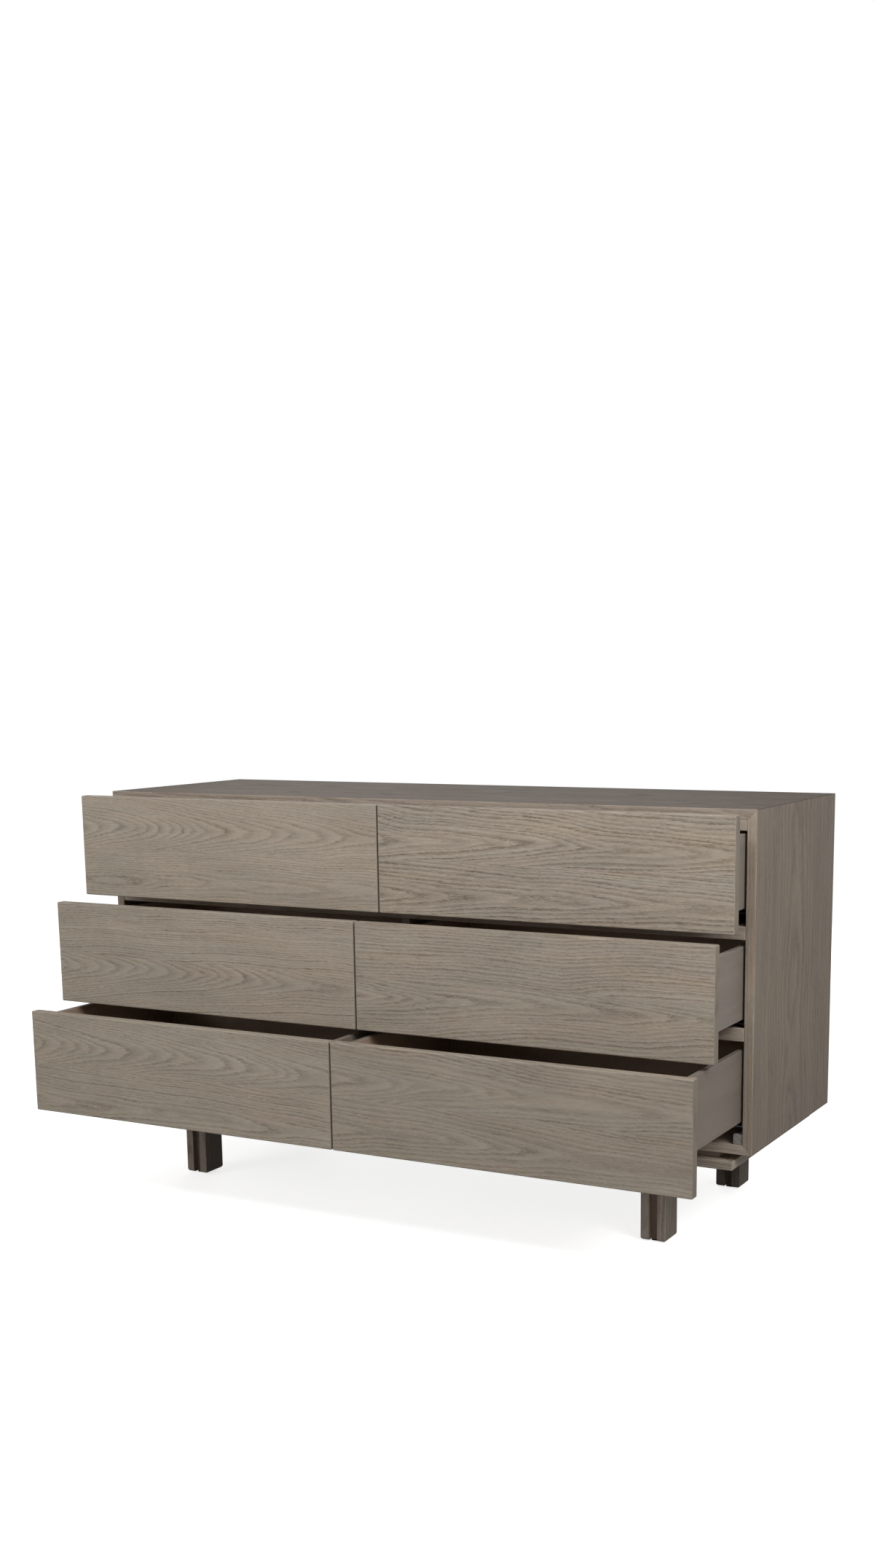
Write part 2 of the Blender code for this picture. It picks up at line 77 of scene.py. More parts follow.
class Tree:
    """Writes shader nodes as if they were sums. Each value is a number or a node's socket."""

    def __init__(self, tree):
        self.nodes = tree.nodes
        self.links = tree.links

    def put(self, socket, value):
        if isinstance(value, bpy.types.NodeSocket):
            self.links.new(value, socket)
        else:
            socket.default_value = value

    def math(self, op, a, b=0.0, clamp=False):
        node = self.nodes.new("ShaderNodeMath")
        node.operation = op
        node.use_clamp = clamp
        for socket, value in zip(node.inputs, (a, b)):
            self.put(socket, value)
        return node.outputs[0]

    def add(self, a, b):
        return self.math("ADD", a, b)

    def sub(self, a, b):
        return self.math("SUBTRACT", a, b)

    def mul(self, a, b):
        return self.math("MULTIPLY", a, b)

    def div(self, a, b):
        return self.math("DIVIDE", a, b)

    def span(self, value, low, high, to_low=0.0, to_high=1.0, kind="LINEAR"):
        """Takes low to to_low and high to to_high, and keeps to those two beyond them."""
        node = self.nodes.new("ShaderNodeMapRange")
        node.interpolation_type = kind
        for name, number in (("Value", value), ("From Min", low), ("From Max", high),
                             ("To Min", to_low), ("To Max", to_high)):
            self.put(node.inputs[name], number)
        return node.outputs["Result"]

    def step(self, low, high, value):
        """0 below low, 1 above high, smooth between."""
        return self.span(value, low, high, kind="SMOOTHSTEP")

    def fade(self, low, high, value):
        """1 below low, 0 above high, smooth between."""
        return self.sub(1.0, self.step(low, high, value))

    def vector(self, x, y, z):
        node = self.nodes.new("ShaderNodeCombineXYZ")
        for socket, value in zip(node.inputs, (x, y, z)):
            self.put(socket, value)
        return node.outputs[0]

    def split(self, vector):
        node = self.nodes.new("ShaderNodeSeparateXYZ")
        self.put(node.inputs[0], vector)
        return node.outputs[0], node.outputs[1], node.outputs[2]

    def noise(self, x, y, z, detail=2.0, rough=0.5):
        """Noise about 0, from -1 to 1, with one cell per unit of x, y and z."""
        node = self.nodes.new("ShaderNodeTexNoise")
        node.inputs["Scale"].default_value = 1.0
        node.inputs["Detail"].default_value = detail
        node.inputs["Roughness"].default_value = rough
        self.put(node.inputs["Vector"], self.vector(x, y, z))
        return self.span(node.outputs[0], *NOISE_RANGE, -1.0, 1.0)

    def cells(self, xyz, sizes, detail=2.0, rough=0.5):
        """The same noise, with cells of the given sizes along x, y and z."""
        x, y, z = (self.div(c, size) for c, size in zip(xyz, sizes))
        return self.noise(x, y, z, detail, rough)

    def mix(self, amount, a, b, kind="MIX"):
        """Colours, each three numbers or a socket."""
        node = self.nodes.new("ShaderNodeMix")
        node.data_type = "RGBA"
        node.blend_type = kind
        self.put(node.inputs[MIX_AMOUNT], amount)
        for index, colour in zip(MIX_COLOURS, (a, b)):
            if not isinstance(colour, bpy.types.NodeSocket):
                colour = (*colour, 1.0)
            self.put(node.inputs[index], colour)
        return node.outputs[MIX_COLOUR_OUT]

    def blend(self, amount, a, b):
        """Numbers: a where the amount is 0, b where it is 1."""
        node = self.nodes.new("ShaderNodeMix")
        self.put(node.inputs[MIX_AMOUNT], amount)
        for index, value in zip(MIX_NUMBERS, (a, b)):
            self.put(node.inputs[index], value)
        return node.outputs[MIX_NUMBER_OUT]

    def tint(self, colour, factor):
        """The colour times a number."""
        return self.mix(1.0, colour, self.vector(factor, factor, factor), "MULTIPLY")

    def gain(self, colour, mask, gain):
        """The colour times 1 + gain on the mask. A gain of three is for red, green and blue."""
        if not isinstance(gain, tuple):
            return self.tint(colour, self.add(1.0, self.mul(mask, gain)))
        factors = (self.add(1.0, self.mul(mask, part)) for part in gain)
        return self.mix(1.0, colour, self.vector(*factors), "MULTIPLY")

    def bump(self, height, distance, strength):
        """The normal of a surface with this height. The distance is in metres."""
        node = self.nodes.new("ShaderNodeBump")
        node.inputs["Strength"].default_value = strength
        node.inputs["Distance"].default_value = distance
        self.put(node.inputs["Height"], height)
        return node.outputs["Normal"]

    def use(self, group, values):
        """The outputs of a node group that is given the values by name."""
        node = self.nodes.new("ShaderNodeGroup")
        node.node_tree = group
        for name, value in values.items():
            self.put(node.inputs[name], value)
        return node.outputs


def new_group(name, inputs, outputs):
    """A node group of numbers: the group, its tree, what it is given and what it returns."""
    group = bpy.data.node_groups.new(name, "ShaderNodeTree")

    def new_socket(socket_name, side):
        return group.interface.new_socket(name=socket_name, in_out=side,
                                          socket_type="NodeSocketFloat")

    for socket_name, default in inputs.items():
        new_socket(socket_name, "INPUT").default_value = default
    for socket_name in outputs:
        new_socket(socket_name, "OUTPUT")
    start = group.nodes.new("NodeGroupInput")
    end = group.nodes.new("NodeGroupOutput")
    return group, Tree(group), start.outputs, end.inputs


def new_material(name):
    made = bpy.data.materials.new(name)
    made.use_nodes = True
    return made, Tree(made.node_tree), made.node_tree.nodes["Principled BSDF"]


# Oak figure: what the group of its nodes is given and returns
BELOW_ALL = -9999.0                          # a seam that no board reaches
LEAF_KEYS = ("centre", "depth", "slope", "ring")
OAK_INPUTS = {
    "U": 0.0, "V": 0.0, "W": 0.0,
    "Seam": BELOW_ALL,
    "Upper centre": 0.0, "Upper depth": 60.0, "Upper slope": 0.03, "Upper ring": 5.0,
    "Lower centre": 0.0, "Lower depth": 60.0, "Lower slope": 0.03, "Lower ring": 5.0,
    "Bow": 0.0, "Line width": 1.0, "Seed": 0.0,
}
OAK_OUTPUTS = ("Ring line", "Late wood", "Pores", "Tone", "Hue", "Fibre")

# Noises stretched along the grain: the number that sets each apart from the others, the length and
# the width of its cells in mm, its detail and its roughness
GRAIN = {
    "wander": (0.0, 330.0, 400.0, 1.0, 0.5),
    "long waves": (2.0, 260.0, 130.0, 1.0, 0.5),
    "waves": (3.0, 120.0, 17.0, 1.0, 0.5),
    "ripples": (4.0, 34.0, 3.0, 2.0, 0.7),
    "teeth": (5.0, 9.0, 1.3, 2.0, 0.7),
    "fade": (6.0, 120.0, 13.0, 1.0, 0.5),
    "streaks": (7.0, 22.0, 2.0, 3.0, 0.8),
    "dashes": (8.0, 8.0, 1.1, 3.0, 0.75),
    "tone": (9.0, 210.0, 48.0, 2.0, 0.5),
    "long fibre": (10.0, 150.0, 2.6, 3.0, 0.7),
    "late wood": (11.0, 60.0, 2.2, 1.0, 0.5),
    "hue": (12.0, 160.0, 16.0, 3.0, 0.75),
    "threads": (13.0, 30.0, 1.4, 1.0, 0.5),
    "short fibre": (14.0, 15.0, 1.6, 3.0, 0.85),
    "wide hue": (15.0, 450.0, 70.0, 1.0, 0.5),
}
SEED_STEP, LEAF_STEP = 13.7, 31.3            # between the noises of two boards, or of two leaves
WANDER_MM = 7.0
RING_WAVES = {"long waves": 0.85, "waves": 0.17, "ripples": 0.15, "teeth": 0.16}    # in rings

# Good and bad years: noise cells per ring, the place in that noise, and how far rings move by it
YEAR_CELLS, YEAR_PLACE, YEAR_MOVE = 0.43, 1.3, 0.38
WEIGHT_CELLS, WEIGHT_PLACE = 0.77, 8.1       # the same for how dark each ring's line is

# A ring's line grows over this part of the ring, then fades as this power of the rest of it
LINE_RISE, LINE_FALL = 0.24, 1.5
LINE_GAIN = 1.9
LATE_EDGES = (0.35, 0.85)                    # where in a ring the late wood starts and is full
DASH_EDGES = (0.0, 0.40)                     # the noise at which short pores start and are full
THREAD_EDGES = (0.15, 0.85)                  # and long ones

# Each takes a value from the first number to the second, to a factor from the third to the fourth
WEIGHT_SPAN = (-1.0, 1.0, 0.45, 1.0)
LATE_SPAN = (-0.8, 0.8, 0.0, 1.0)
FADE_SPAN = (-0.9, 0.9, 0.50, 1.0)
STREAK_SPAN = (-0.6, 0.6, 0.40, 1.20)
PORE_SPAN = (0.0, 0.7, 0.15, 1.0)

WIDE_HUE = 0.6                               # beside the narrow one's 1
LONG_FIBRE, SHORT_FIBRE = 0.8, 1.9


def rings_from_middle(t, given, upper, grain):
    """How many rings lie between a place and the trunk's middle, with the waves of the grain."""
    centre, depth, slope, ring = (t.blend(upper, given[f"Lower {key}"], given[f"Upper {key}"])
                                  for key in LEAF_KEYS)
    u = given["U"]
    aside = t.add(t.sub(given["V"], centre), t.mul(grain("wander"), WANDER_MM))
    down = t.add(depth, given["W"])
    radius = t.math("SQRT", t.add(t.mul(down, down), t.mul(aside, aside)))
    tapered = t.sub(u, t.mul(given["Bow"], t.mul(u, u)))
    rings = t.div(t.add(radius, t.mul(slope, tapered)), ring)
    for name, wave in RING_WAVES.items():
        rings = t.add(rings, t.mul(grain(name), wave))
    return rings


def ring_marks(t, rings, leaf, width, grain):
    """The dark line at each ring's start, and the late wood at its end."""
    year = t.noise(t.mul(rings, YEAR_CELLS), leaf, YEAR_PLACE, detail=0.0)
    rings = t.add(rings, t.mul(year, YEAR_MOVE))
    within = t.math("FRACT", rings)
    which = t.math("FLOOR", rings)
    early = t.mul(t.step(0.0, t.mul(width, LINE_RISE), within),
                  t.math("POWER", t.sub(1.0, within), t.div(LINE_FALL, width)))
    weight = t.noise(t.mul(which, WEIGHT_CELLS), leaf, WEIGHT_PLACE, detail=0.0)
    early = t.mul(early, t.span(weight, *WEIGHT_SPAN))
    faded = t.mul(early, t.span(grain("fade"), *FADE_SPAN))
    streaks = t.mul(t.span(grain("streaks"), *STREAK_SPAN), LINE_GAIN)
    late = t.mul(t.step(*LATE_EDGES, within), t.span(grain("late wood"), *LATE_SPAN))
    return t.math("MULTIPLY", faded, streaks, clamp=True), late


def pore_marks(t, line, grain):
    """Short and long pores, most of them on the dark lines."""
    dashes = t.step(*DASH_EDGES, grain("dashes"))
    threads = t.step(*THREAD_EDGES, grain("threads"))
    pores = t.math("MAXIMUM", dashes, threads)
    return t.math("MULTIPLY", pores, t.span(line, *PORE_SPAN), clamp=True)


def oak_group():
    """The growth rings of a tapering trunk, as a board cut along it shows them. Lengths are in mm.

    U runs along the grain, V across the face and W into the board. Above Seam lies the upper leaf,
    below it the lower one. Centre is the place on V over the trunk's middle, Depth is how far that
    middle lies below the face, and Slope how fast the rings narrow along the grain, which Bow slows
    down. A ring starts where the distance to the middle plus Slope times U is a whole number of
    Rings. That draws nested arches on the face: round ones where Depth is large, pointed ones where
    it is small.
    """
    group, t, given, result = new_group("oak", OAK_INPUTS, OAK_OUTPUTS)
    u, v, w = given["U"], given["V"], given["W"]
    upper = t.math("GREATER_THAN", v, given["Seam"])
    leaf = t.add(t.mul(given["Seed"], SEED_STEP), t.mul(upper, LEAF_STEP))

    def grain(name):
        place, along, across, detail, rough = GRAIN[name]
        return t.noise(t.div(u, along), t.div(v, across),
                       t.add(t.div(w, across), t.add(leaf, place)), detail, rough)

    rings = rings_from_middle(t, given, upper, grain)
    line, late = ring_marks(t, rings, leaf, given["Line width"], grain)
    pores = pore_marks(t, line, grain)
    hue = t.add(grain("hue"), t.mul(grain("wide hue"), WIDE_HUE))
    fibre = t.add(t.mul(grain("long fibre"), LONG_FIBRE), t.mul(grain("short fibre"), SHORT_FIBRE))
    for name, value in zip(OAK_OUTPUTS, (line, late, pores, grain("tone"), hue, fibre)):
        t.put(result[name], value)
    return group


def arches(upper, lower=None):
    """What the oak group is given for two leaves, each as its centre, depth, slope and ring in mm.

    Without lower, both leaves are the same.
    """
    leaves = {"Upper": upper, "Lower": lower or upper}
    return {f"{word} {key}": value
            for word, leaf in leaves.items() for key, value in zip(LEAF_KEYS, leaf)}


def edge_group():
    """How far a point on a board's surface is from the board's nearest edge, in mm."""
    inputs = dict.fromkeys("XYZ", 0.0)
    inputs.update({f"Centre {axis}": 0.0 for axis in "XYZ"})
    inputs.update({f"Half {axis}": 1.0 for axis in "XYZ"})
    group, t, given, result = new_group("board_edges", inputs, ("Edge distance",))
    off = (t.math("ABSOLUTE", t.sub(given[axis], given[f"Centre {axis}"])) for axis in "XYZ")
    a, b, c = (t.sub(given[f"Half {axis}"], distance) for axis, distance in zip("XYZ", off))
    # These are the distances to the sides. On the surface one is 0, and the second is the edge's
    nearer, farther = t.math("MINIMUM", a, b), t.math("MAXIMUM", a, b)
    t.put(result["Edge distance"], t.math("MAXIMUM", nearer, t.math("MINIMUM", farther, c)))
    return group


OAK = oak_group()
EDGES = edge_group()


# The part of a normal along an axis at which a face starts to look that way, and does in full
FACING = (0.6, 0.8)
INNER_FACING = (0.5, 0.8)


class Board:
    """A board's coordinates in mm: the dresser's own (xyz), and from its low corner (local).

    A node's mesh keeps its place at rest, so Object coordinates ride with it.
    """

    def __init__(self, t, node_name):
        coordinates = t.nodes.new("ShaderNodeTexCoord").outputs
        self.t = t
        self.low, self.high = (dict(zip("XYZ", (c * MM for c in corner)))
                               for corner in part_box(node_name))
        self.xyz = dict(zip("XYZ", (t.mul(c, MM) for c in t.split(coordinates["Object"]))))
        self.local = {axis: t.sub(self.xyz[axis], self.low[axis]) for axis in "XYZ"}
        self.normal = dict(zip("XYZ", t.split(coordinates["Normal"])))

    def middle(self, axis):
        return (self.low[axis] + self.high[axis]) / 2

    def half(self, axis):
        return (self.high[axis] - self.low[axis]) / 2

    def from_middle(self, axis):
        return self.t.math("ABSOLUTE", self.t.sub(self.xyz[axis], self.middle(axis)))

    def facing(self, axis, sign=None, edges=FACING):
        """1 on the faces square to the axis, or only on the one that looks the way sign gives."""
        part = self.normal[axis]
        part = self.t.math("ABSOLUTE", part) if sign is None else self.t.mul(part, sign)
        return self.t.step(*edges, part)

    def edge_distance(self):
        values = dict(self.xyz)
        values.update({f"Centre {axis}": self.middle(axis) for axis in "XYZ"})
        values.update({f"Half {axis}": self.half(axis) for axis in "XYZ"})
        return self.t.use(EDGES, values)["Edge distance"]


def dress(node_name, material):
    thing = nodes[node_name]
    thing.data.materials.clear()
    thing.data.materials.append(material)


def toned(colours, tone):
    """The light and the dark colour times a number, or times one each for red, green and blue."""
    tones = tone if isinstance(tone, tuple) else (tone,) * 3
    return [tuple(c * k for c, k in zip(colour, tones)) for colour in colours]


TURNED_SEED = 5.0                            # more, where the grain runs another way
LINE_SHARE, PORE_SHARE = 0.62, 0.38          # of the way from the light colour to the dark one
FIBRE_SHADE, LATE_SHADE, TONE_SHADE = 0.085, 0.075, 0.075
HUE_SHADE = 0.028                            # more red and as much less blue
FIBRE_COLOUR = (0.90, 1.06, 1.14)            # the fibre's part in red, green and blue
WEAR_CELL, WEAR_LEAST = 14.0, 0.35           # a patch's size in mm, and the wear between patches
WEAR_EDGES = (0.6, 2.6)                      # mm from an edge: it starts to fade and ends
PORE_ROUGH, TONE_ROUGH, WEAR_ROUGH = 0.12, 0.03, -0.06
FIBRE_HEIGHT = 0.25                          # beside the pores' depth of 1
OAK_BUMP = (0.0001, 0.5)                     # distance in metres, and strength


def oak_on(board, along, across, figure, seam, seed, strength, turned, leaf):
    """What the oak group returns on a board, and how strong the figure is there."""
    t = board.t
    into = next(axis for axis in "XYZ" if axis not in (along, across))
    uvw = [board.local[axis] for axis in (along, across, into)]
    if turned is not None:
        mask, axes, calm = turned(board)
        uvw = [t.blend(mask, value, board.local[axis]) for value, axis in zip(uvw, axes)]
        seed = t.add(t.mul(mask, TURNED_SEED), seed)
        strength = t.mul(strength, t.sub(1.0, t.mul(mask, calm)))
    if leaf is not None:
        seed = t.add(leaf(board), seed)
    values = {**dict(zip("UVW", uvw)), **figure, "Seam": seam, "Seed": seed}
    return t.use(OAK, values), strength


def oak_colour(t, oak, colours, strength):
    """The light colour with dark lines and pores, and the drift of fibre, tone and hue."""
    dark = t.add(t.mul(oak["Ring line"], LINE_SHARE), t.mul(oak["Pores"], PORE_SHARE))
    colour = t.mix(t.math("MULTIPLY", dark, strength, clamp=True), *colours)
    fine = t.add(t.mul(oak["Fibre"], FIBRE_SHADE), t.mul(oak["Late wood"], LATE_SHADE))
    red, green, blue = (t.mul(t.mul(fine, strength), part) for part in FIBRE_COLOUR)
    drift = t.mul(oak["Hue"], HUE_SHADE)
    shade = t.add(1.0, t.mul(oak["Tone"], TONE_SHADE))
    changes = (t.add(drift, red), green, t.sub(blue, drift))
    shades = t.vector(*(t.mul(shade, t.add(1.0, change)) for change in changes))
    return t.mix(1.0, colour, shades, "MULTIPLY")


def rubbed_edges(board):
    """1 on the edges where they are rubbed most, in patches."""
    t = board.t
    patches = t.cells([board.xyz[axis] for axis in "XYZ"], (WEAR_CELL,) * 3)
    return t.mul(t.fade(*WEAR_EDGES, board.edge_distance()),
                 t.span(patches, -1.0, 1.0, WEAR_LEAST, 1.0))


def dress_in_oak(node_name, along, across, colours, seed, figure, name=None, seam=BELOW_ALL,
                 strength=1.0, roughness=0.66, specular=0.05, wear=0.10, turned=None, leaf=None,
                 marks_and_light=None):
    """Gives a board oak of its own. along and across are axes, figure and seam place its arches.

    turned(board) gives a mask of the places whose grain runs another way, the three axes that u, v
    and w follow there, and how calm the figure is there. leaf(board) numbers glued boards.
    marks_and_light(board, colour) adds what else shows on the piece, painted light and shade among
    it.
    """
    made, t, shader = new_material(name or f"oak_{node_name}")
    board = Board(t, node_name)
    oak, strength = oak_on(board, along, across, figure, seam, seed, strength, turned, leaf)
    rubbed = rubbed_edges(board)
    colour = t.gain(oak_colour(t, oak, colours, strength), rubbed, wear)
    if marks_and_light is not None:
        colour = marks_and_light(board, colour)
    t.put(shader.inputs["Base Color"], colour)
    rough = t.add(t.mul(oak["Pores"], PORE_ROUGH), t.mul(oak["Tone"], TONE_ROUGH))
    rough = t.add(t.add(roughness, rough), t.mul(rubbed, WEAR_ROUGH))
    t.put(shader.inputs["Roughness"], rough)
    shader.inputs["Specular IOR Level"].default_value = specular
    height = t.sub(t.mul(oak["Fibre"], FIBRE_HEIGHT), oak["Pores"])
    t.put(shader.inputs["Normal"], t.bump(height, *OAK_BUMP))
    dress(node_name, made)


# What else shows on a board. A gain of -0.2 takes a fifth of the colour away. Lengths are in mm.
# Two edges are where a mark starts to fade and where it ends
FRONT_END_CALM, FRONT_END_GAIN = 0.55, -0.235
LIPPING, LIPPING_BLUR = 3.6, 0.2
# Painted light: the lipping on the case's front edges is painted paler, for light the protruding
# fronts keep off them. On the top it also lifts the lipping out of the top's painted shade
LIPPING_LIGHT_GAIN = (0.46, 0.42, 0.36)
TOP_LIPPING_LIGHT_GAIN = (0.86, 0.82, 0.75)
SEAM_EDGES = (0.3, 0.9)                      # from the middle of the line beside the lipping
END_LINE = (1.3, 0.6)                        # so far from an end its line starts and is full
SEAM_GAIN = -0.38
# Painted shade: the side panels are painted darker towards the floor, where less light falls
SIDE_LOW_SHADE_SPAN = (230.0, 430.0, -0.09, 0.0)   # two heights and the gain at each
# Painted sheen and shade: the top is painted lighter to the left, where it catches a sheen, and
# darker to the right
TOP_SHEEN_SPAN = (-600.0, 500.0, 0.18, -0.15)      # two places along X and the gain at each
MITRE_BLUR, MITRE_EDGES, MITRE_GAIN = 0.05, (0.2, 0.8), -0.45
LEG_BOARD = 18.0                             # the thickness of each of a leg's three boards
GROOVE_EDGES = (0.4, 0.1)                    # from the joint with the outer boards
GROOVE_GAIN = (0.16, -0.03, -0.08)
# Painted shade: the legs' sides, and the back legs' fronts under the dresser, are painted darker
LEG_SIDE_SHADE, BACK_LEG_FRONT_SHADE = -0.34, -0.40
GLIDE_TOP, GLIDE_BLUR = 2.9, 0.1
GLIDE_BLACK = (0.012, 0.012, 0.012)
# Painted light: warm light bouncing inside the drawers, painted on the boxes' inner faces
INSIDE_BOUNCE_GAIN = (0.80, 0.60, 0.50)
CLEAT_END_GAIN, CLEAT_RIM_GAIN, RIM_EDGES = 0.21, 0.30, (0.4, 2.2)


def front_ends(board):
    """The veneer on a front's ends has upright grain and little figure."""
    return board.facing("X"), "ZYX", FRONT_END_CALM


def front_finish(board, colour):
    """The ends are a little darker than the face."""
    return board.t.gain(colour, board.facing("X"), FRONT_END_GAIN)


def end_line(board, axis):
    """1 on the last millimetre before a board's ends, where its mitre shows as a fine dark line."""
    start, full = (board.half(axis) - inset for inset in END_LINE)
    return board.t.step(start, full, board.from_middle(axis))


def lipping(board):
    """1 on the solid lipping along a board's front edge."""
    return board.t.fade(LIPPING - LIPPING_BLUR, LIPPING, board.local["Y"])


def side_marks_and_shade(board, colour):
    """The lipping, painted paler as painted light, the fine line beside it, the dark joints at the
    ends, and painted shade that deepens towards the floor."""
    t = board.t
    colour = t.gain(colour, lipping(board), LIPPING_LIGHT_GAIN)
    colour = t.tint(colour, t.add(1.0, t.span(board.xyz["Z"], *SIDE_LOW_SHADE_SPAN)))
    off = t.math("ABSOLUTE", t.sub(board.local["Y"], LIPPING))
    joints = t.mul(end_line(board, "Z"), board.facing("X"))
    return t.gain(colour, t.math("MAXIMUM", t.fade(*SEAM_EDGES, off), joints), SEAM_GAIN)


def top_marks_and_sheen(board, colour):
    """Paler lipping, dark joints at the ends, and a painted sheen that turns to painted shade to the
    right.
    """
    t = board.t
    front = lipping(board)
    colour = t.gain(colour, front, TOP_LIPPING_LIGHT_GAIN)
    joints = t.mul(end_line(board, "X"), SEAM_GAIN)
    return t.gain(colour, t.sub(1.0, front), t.add(t.span(board.xyz["X"], *TOP_SHEEN_SPAN), joints))


def frame_diagonal(board):
    """How far a place is past the frame's mitres, in mm: above 0 on the two short pieces."""
    t = board.t
    from_end, from_front = (t.sub(board.half(axis), board.from_middle(axis)) for axis in "XY")
    return t.sub(from_front, from_end)


def mitred_rails(board):
    """The grain follows each of the frame's four pieces, which meet at 45 degrees."""
    return board.t.step(-MITRE_BLUR, MITRE_BLUR, frame_diagonal(board)), "YXZ", 0.0


def frame_finish(board, colour):
    """A fine dark line at each mitre."""
    t = board.t
    off = t.math("ABSOLUTE", frame_diagonal(board))
    return t.gain(colour, t.fade(*MITRE_EDGES, off), MITRE_GAIN)


def leg_boards(board):
    """Numbers the leg's three glued boards."""
    return board.t.math("FLOOR", board.t.div(board.local["X"], LEG_BOARD))


def leg_marks_and_shade(board, colour):
    """A warmer middle board, painted shade on the sides, and the black glide under the leg."""
    t = board.t
    start, end = (LEG_BOARD / 2 - inset for inset in GROOVE_EDGES)
    colour = t.gain(colour, t.fade(start, end, board.from_middle("X")), GROOVE_GAIN)
    colour = t.gain(colour, board.facing("X"), LEG_SIDE_SHADE)
    return t.mix(t.fade(GLIDE_TOP - GLIDE_BLUR, GLIDE_TOP, board.xyz["Z"]), colour, GLIDE_BLACK)


def back_leg_marks_and_shade(board, colour):
    """A back leg's front is painted darker than its other faces: painted shade under the dresser."""
    return leg_marks_and_shade(board, board.t.gain(colour, board.facing("Y", -1.0), BACK_LEG_FRONT_SHADE))


def inside_bounce_light(axis, sign):
    """For a drawer's board: its inner face, on the side that sign gives, gets painted warm bounce
    light.
    """
    def marks_and_light(board, colour):
        return board.t.gain(colour, board.facing(axis, sign, INNER_FACING), INSIDE_BOUNCE_GAIN)
    return marks_and_light


def cleat_finish(board, colour):
    """Paler sawn ends with rubbed edges."""
    t = board.t
    ends = board.facing("Y")
    rim = t.mul(ends, t.fade(*RIM_EDGES, board.edge_distance()))
    change = t.add(t.mul(ends, CLEAT_END_GAIN), t.mul(rim, CLEAT_RIM_GAIN))
    return t.tint(colour, t.add(1.0, change))


# Linear colours: the light and the dark of each kind of board
FRONT = ((0.318, 0.273, 0.219), (0.140, 0.109, 0.085))
CASE = ((0.238, 0.199, 0.163), (0.126, 0.100, 0.080))
# Painted shade: the top is the case's oak painted darker, for the dim light its grazing face gets
TOP_SHADED = ((0.170, 0.143, 0.121), (0.098, 0.080, 0.066))
# Painted light: the oak of front edges that sit in shade (bottom panel, upper and lower rails,
# spacers) is the top rail's, painted lighter for light bouncing in
EDGE_WITH_BOUNCE = ((0.385, 0.322, 0.264), (0.208, 0.164, 0.130))
RAIL = ((0.320, 0.272, 0.220), (0.170, 0.135, 0.105))
# Partly painted light: the frame's and the legs' own oak, painted about a tenth lighter for light
# bouncing up from the floor
FRAME = ((0.384, 0.323, 0.266), (0.203, 0.160, 0.128))
LEG = ((0.335, 0.283, 0.235), (0.180, 0.143, 0.115))
CLEAT = ((0.290, 0.264, 0.242), (0.120, 0.100, 0.088))
BOX = ((0.215, 0.185, 0.158), (0.172, 0.144, 0.120))
# Painted light: the bottom panel and the rails, in the fronts' shade, are painted lighter still
BOTTOM_BOUNCE_TONE = 1.10
UPPER_RAIL_BOUNCE_TONE, LOWER_RAIL_BOUNCE_TONE = 1.03, 1.20
# Painted shade: the back legs are the front legs' oak painted darker, for the shade under the
# dresser
BACK_LEG_SHADE_TONE = 0.68
# Painted shade: the bottom row's boxes are the others' colour painted darker, for the deeper shade
# they sit in
LOW_BOX_SHADE_TONE = (0.840, 0.815, 0.780)

# Each front's two leaves, upper then lower, the strength of its figure, the width of its lines and
# its tone
FRONTS = {
    "top_left": ((147, 36, 0.125, 4.2), (36, 26, 0.022, 4.6), 0.96, 0.5, 1.05),
    "top_right": ((149, 9, 0.115, 7.6), (41, 16, 0.065, 7.0), 1.18, 1.0, 1.04),
    "middle_left": ((290, 30, 0.012, 4.8), (82, 30, 0.125, 4.3), 0.96, 0.6, 1.0),
    "middle_right": ((260, 20, 0.020, 6.8), (77, 12, 0.095, 7.0), 1.03, 1.0, 1.0),
    "bottom_left": ((146, 34, 0.115, 4.4), (31, 24, 0.030, 4.8), 0.96, 0.5, 1.0),
    "bottom_right": ((149, 12, 0.105, 7.8), (46, 14, 0.070, 7.2), 0.87, 1.0, 0.94),
}
FRONT_BOW = 0.00035

UPRIGHT_FIGURE = arches((239, 260, 0.010, 5.0))
FLAT_FIGURE = arches((300, 120, 0.030, 7.0), (120, 110, 0.030, 7.0))
BACK_FIGURE = arches((480, 90, 0.040, 8.0), (160, 80, 0.035, 8.0))
RAIL_FIGURE = arches((10, 160, 0.006, 5.0))
BASE_FIGURE = arches((10, 90, 0.012, 5.0))
END_FIGURE = arches((-40, 40, 0.0, 2.6))     # a sawn end's rings, round a middle beside the cleat
BOX_FIGURE = arches((70, 200, 0.006, 6.0))
FLAT_SEAM, BACK_SEAM = 240.0, 318.0          # where two leaves of veneer meet

# The first seed of each kind of board. No two boards share one, so no two have the same grain
FRONT_SEED, SIDE_SEED, PANEL_SEED, RAIL_SEED = 1.0, 11.0, 21.0, 25.0
SPACER_SEED, FRAME_SEED, LEG_SEED, CLEAT_SEED, BOX_SEED = 31.0, 33.0, 35.0, 41.0, 51.0


def dress_fronts():
    for seed, (place, front) in zip(itertools.count(FRONT_SEED), FRONTS.items()):
        upper, lower, strength, line_width, tone = front
        node_name = f"{place}_drawer_front"
        low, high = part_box(node_name)
        figure = {**arches(upper, lower), "Bow": FRONT_BOW, "Line width": line_width}
        dress_in_oak(node_name, "X", "Z", toned(FRONT, tone), seed, figure,
                     name=f"oak_{place}_front", seam=(high[2] - low[2]) * MM / 2, strength=strength,
                     wear=0.04, turned=front_ends, marks_and_light=front_finish)


